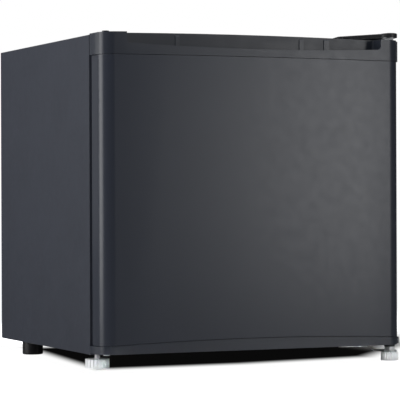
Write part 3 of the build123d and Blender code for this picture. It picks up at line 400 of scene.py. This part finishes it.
# In millimetres. The nodes with 0 are foam, tubes, wires and the compressor's domed shell.
edge_radius = {
    "left_side_panel": 0.3, "right_side_panel": 0.3, "top_panel": 0.3, "bottom_panel": 0.3,
    "compressor_bay_panel": 0.3, "back_panel": 0.3, "base_beam": 0.4, "inner_liner": 0.5,
    "door_liner": 0.5, "door_skin": 0.3, "door_top_cap": 0.6, "door_bottom_cap": 0.6,
    "hinge_cover": 0.5, "top_hinge_bracket": 0.5, "lower_hinge_bracket": 0.5,
    "lower_hinge_pin": 0.6, "lower_hinge_washer": 0.2, "hinge_screws": 0.5, "rear_screws": 0.5,
    "compressor_bolts": 0.4, "compressor_plate": 0.6, "compressor_grommets": 1.2,
    "terminal_cover": 1.5, "cord_gland": 1.0, "rear_feet": 0.6, "left_foot_disc": 0.8,
    "right_foot_disc": 0.8, "left_foot_stud": 0.4, "right_foot_stud": 0.4,
    "left_foot_socket": 0.4, "thermostat_housing": 0.8, "thermostat_knob": 0.9,
    "thermostat_control": 0.4, "freezer_frame": 0.9, "freezer_flap": 0.8, "drip_tray": 0.5,
    "tray_rails": 0.4, "evaporator": 0.4, "evaporator_spacers": 0.5, "door_gasket": 1.6,
    "hinge_bushes": 0.3, "top_hole_plug": 0.8, "bottom_hole_plug": 0.8, "lower_door_rack": 0.7,
    "upper_door_rack": 0.7, "condenser_brackets": 1.0, "filter_drier": 0.3,
    "insulation_foam": 0, "door_foam": 0, "wire_shelf": 0, "condenser_tube": 0,
    "condenser_wires": 0, "capillary_tube": 0, "suction_line": 0, "discharge_line": 0,
    "sensing_bulb": 0, "compressor": 0,
}


def thin_ribs(mesh, shown_depth=1.2 * MM, zone=40 * MM, tolerance=0.05 * MM):
    """Moves the fronts of the grip's ribs back, so that less of their sides shows.

    The grip lies within a zone under the door's top.
    """
    rib_front = grip_back - rib_depth
    below_grip = door_top - zone
    for vertex in mesh.vertices:
        if abs(vertex.co.y - rib_front) < tolerance and vertex.co.z > below_grip:
            vertex.co.y += rib_depth - shown_depth


def slant_end(mesh, run=17 * MM, front_part=20 * MM, tolerance=0.02 * MM):
    """Slants the front of a cap's left end, which stands proud of the door's side.

    The slant runs back by run where the end is proudest. Its corners are those in the front
    part of the door's depth.
    """
    reach = door_side - min(vertex.co.x for vertex in mesh.vertices)
    for vertex in mesh.vertices:
        proud = door_side - vertex.co.x
        if proud > tolerance and vertex.co.y < door_front + front_part:
            vertex.co.y += run * proud / reach


for node, radius in edge_radius.items():
    piece = finish_node(node, radius)
    if node in ("door_top_cap", "door_bottom_cap"):
        slant_end(piece.data)
    if node == "door_top_cap":
        thin_ribs(piece.data)


# Studio ------------------------------------------------------------------------------------


def mix_shaders(tree, amount, first, second):
    """The first shader where amount is 0 and the second where it is 1."""
    mix = tree.nodes.new("ShaderNodeMixShader")
    tree.links.new(amount, mix.inputs[0])
    tree.links.new(first, mix.inputs[1])
    tree.links.new(second, mix.inputs[2])
    return mix.outputs[0]


def diffuse(tree, tone):
    """A matt grey of a tone, where 1 is white."""
    made = tree.nodes.new("ShaderNodeBsdfDiffuse")
    made.inputs["Color"].default_value = (tone, tone, tone, 1)
    return made.outputs[0]


def make_world(ambient):
    """White to the camera, to reflections and through glass, and a dim light otherwise."""
    world = bpy.data.worlds.new("studio")
    bpy.context.scene.world = world
    world.use_nodes = True
    tree = world.node_tree
    tree.nodes.clear()
    path = tree.nodes.new("ShaderNodeLightPath").outputs
    kinds = [path[name] for name in ("Is Camera Ray", "Is Glossy Ray", "Is Transmission Ray")]
    seen = calculate(tree, "MAXIMUM", *kinds)
    dim = tree.nodes.new("ShaderNodeBackground")
    dim.inputs["Color"].default_value = (*ambient, 1)
    bright = tree.nodes.new("ShaderNodeBackground")
    bright.inputs["Color"].default_value = (1, 1, 1, 1)
    out = tree.nodes.new("ShaderNodeOutputWorld")
    tree.links.new(mix_shaders(tree, seen, dim.outputs[0], bright.outputs[0]), out.inputs["Surface"])


def smooth(tree, value, low_in, high_in, low_out=0.0):
    """Goes gently from low_out to 1 as the value goes from low_in to high_in."""
    made = tree.nodes.new("ShaderNodeMapRange")
    made.interpolation_type = "SMOOTHSTEP"
    for socket, number in zip(made.inputs[1:5], (low_in, high_in, low_out, 1)):
        socket.default_value = number
    tree.links.new(value, made.inputs[0])
    return made.outputs[0]


def distance_off(tree, left, front, rear, right, fade_from, slant, left_lean, right_lean):
    """How far a point of the floor lies outside the painted shadow's area, below zero inside it.

    The front line runs back by slant per metre from the middle to the right. The side lines
    lean to the right, per metre to the back, by the two leans. The left line is crisper than
    the others, and right of fade_from the shade fades slowly.
    """
    left_crispness, fade_rate = 2.0, 0.2
    place = tree.nodes.new("ShaderNodeSeparateXYZ")
    tree.links.new(tree.nodes.new("ShaderNodeTexCoord").outputs["Object"], place.inputs[0])
    x, y = place.outputs[0], place.outputs[1]
    behind = calculate(tree, "SUBTRACT", y, front)
    left_line = calculate(tree, "ADD", calculate(tree, "MULTIPLY", behind, left_lean), left)
    past_left = calculate(tree, "SUBTRACT", left_line, x)
    past_left = calculate(tree, "MULTIPLY", past_left, left_crispness)
    shift = calculate(tree, "MULTIPLY", calculate(tree, "MAXIMUM", x, 0.0), slant)
    past_front = calculate(tree, "SUBTRACT", shift, behind)
    right_line = calculate(tree, "ADD", calculate(tree, "MULTIPLY", behind, right_lean), right)
    past_right = calculate(tree, "SUBTRACT", x, right_line)
    faded = calculate(tree, "MULTIPLY", calculate(tree, "SUBTRACT", x, fade_from), fade_rate)
    past_rear = calculate(tree, "SUBTRACT", y, rear)
    return calculate(tree, "MAXIMUM", past_left, past_front, past_right, faded, past_rear)


def add_surface(name, corners, faces, material_name):
    """Adds a surface of the studio, and gives it with the empty node tree of its material."""
    mesh = bpy.data.meshes.new(name)
    mesh.from_pydata(corners, [], faces)
    surface = bpy.data.objects.new(name, mesh)
    bpy.context.scene.collection.objects.link(surface)
    material = bpy.data.materials.new(material_name)
    material.use_nodes = True
    material.node_tree.nodes.clear()
    mesh.materials.append(material)
    return surface, material.node_tree


def make_floor(reach=60.0, gain=4.0, bounce=0.75, sheen=0.16, darkest=0.003):
    """A white floor: a painted shadow, nearly black, under the object, lit beside it, and plain white
    farther off.

    Gain is the tone of the lit part, above 1 so that it reaches white. The object itself is lit
    by a floor of the tone bounce and reflects one of the tone sheen. The edges are in metres
    from the shaded area's outline.
    """
    shadow_edge, lit_edge, plain_edge = (-0.036, 0.032), (0.07, 0.13), (0.3, 0.8)
    corners = [(-reach, -reach, 0), (reach, -reach, 0), (reach, reach, 0), (-reach, reach, 0)]
    floor, tree = add_surface("floor", corners, [(0, 1, 2, 3)], "floor_white_painted_shadow")
    floor.location.z = -0.02 * MM
    path = tree.nodes.new("ShaderNodeLightPath").outputs
    seen = calculate(tree, "MAXIMUM", path["Is Camera Ray"], path["Is Transmission Ray"])
    unseen = mix_shaders(tree, path["Is Glossy Ray"], diffuse(tree, bounce), diffuse(tree, sheen))
    outside = distance_off(
        tree,
        left=left_side + 0.011,
        front=door_front + 0.049,
        rear=cabinet_rear + 0.05,
        right=right_side - 0.045,
        fade_from=right_side + 0.21,
        slant=0.16,
        left_lean=0.11,
        right_lean=0.9,
    )
    # Painted shadow: an emission that is nearly black inside the outline, which is laid out from the
    # cabinet's sizes, not cast by the lamps.
    under = tree.nodes.new("ShaderNodeEmission")
    tree.links.new(smooth(tree, outside, *shadow_edge, darkest), under.inputs["Strength"])
    beside = diffuse(tree, gain)
    white = tree.nodes.new("ShaderNodeEmission").outputs[0]
    near = mix_shaders(tree, smooth(tree, outside, *lit_edge), under.outputs[0], beside)
    shown = mix_shaders(tree, smooth(tree, outside, *plain_edge), near, white)
    out = tree.nodes.new("ShaderNodeOutputMaterial")
    tree.links.new(mix_shaders(tree, seen, unseen, shown), out.inputs["Surface"])


def make_flags(radius=3.6, bottom=0.001, top=2.4, sides=48, tone=0.03):
    """Dark bluish cards in a ring round the studio, which only reflections see."""
    turns = [2 * pi * i / sides for i in range(sides)]
    points = [(radius * cos(turn), radius * sin(turn)) for turn in turns]
    corners = [(x, y, z) for z in (bottom, top) for x, y in points]
    faces = [(i, (i + 1) % sides, sides + (i + 1) % sides, sides + i) for i in range(sides)]
    flags, tree = add_surface("flags", corners, faces, "flag_black")
    flags.visible_camera = False
    flags.visible_diffuse = False
    flags.visible_shadow = False
    flags.visible_transmission = False
    glow = tree.nodes.new("ShaderNodeEmission")
    glow.inputs["Color"].default_value = (tone, tone * 1.05, tone * 1.2, 1)
    out = tree.nodes.new("ShaderNodeOutputMaterial")
    tree.links.new(glow.outputs[0], out.inputs["Surface"])


def aim(thing, place, target):
    """Puts a lamp at a place, turned to a target."""
    back = (Vector(place) - Vector(target)).normalized()
    side = Vector((0, 0, 1)).cross(back).normalized()
    up = back.cross(side)
    turn = Matrix((side, up, back)).transposed()
    thing.matrix_world = Matrix.Translation(place) @ turn.to_4x4()


def softbox(name, place, target, size, power, spread=180):
    """A lamp that the camera doesn't see, in metres and watts, with its beam's spread in degrees."""
    lamp = bpy.data.lights.new(name, "AREA")
    lamp.spread = radians(spread)
    lamp.shape = "RECTANGLE"
    lamp.size, lamp.size_y = size
    lamp.energy = power
    thing = bpy.data.objects.new(name, lamp)
    bpy.context.scene.collection.objects.link(thing)
    aim(thing, place, target)
    thing.visible_camera = False


def make_camera():
    """The photograph's point of view, as fitted to its straight edges.

    It is a long lens, nearly level with the middle of the fridge and to the left of it.
    """
    yaw, pitch, roll = radians(23.85), radians(-0.08), radians(-0.21)
    place = Vector((left_side - 1.047, door_front - 2.707, 0.246))
    forward = Vector((sin(yaw) * cos(pitch), cos(yaw) * cos(pitch), sin(pitch)))
    level = Vector((cos(yaw), -sin(yaw), 0))
    upward = level.cross(forward)
    side = level * cos(roll) + upward * sin(roll)
    up = upward * cos(roll) - level * sin(roll)
    data = bpy.data.cameras.new("camera")
    data.sensor_width = 36
    data.lens = 185.7
    data.clip_start, data.clip_end = 0.05, 200
    camera = bpy.data.objects.new("camera", data)
    bpy.context.scene.collection.objects.link(camera)
    turn = Matrix((side, up, -forward)).transposed()
    camera.matrix_world = Matrix.Translation(place) @ turn.to_4x4()
    bpy.context.scene.camera = camera


make_world(ambient=(0.3, 0.305, 0.315))
make_floor()
make_flags()
softbox("left_box", (-1.72, 0.2, 0.46), (left_side, door_front, 0.42), (1.05, 0.92), 10.8)
softbox("key_box", (-1.05, -0.55, 1.45), (left_side, 0, 0.3), (0.9, 0.9), 8)
softbox("rear_box", (-1.05, 1.4, 0.7), (left_side, door_front, 0.3), (0.7, 1.2), 0.7)
softbox("right_box", (1.25, -2.2, 0.42), (0, door_front, 0.3), (0.5, 0.9), 7.2)
softbox("low_box", (0, -1.5, 0.009), (0, door_front, 0.004), (0.62, 0.012), 0.038, spread=3)
softbox("top_box", (0.1, -0.6, 2.3), (0.1, -0.3, 0), (1.6, 1.6), 1.5)
make_camera()
bpy.context.scene.view_settings.view_transform = "Standard"
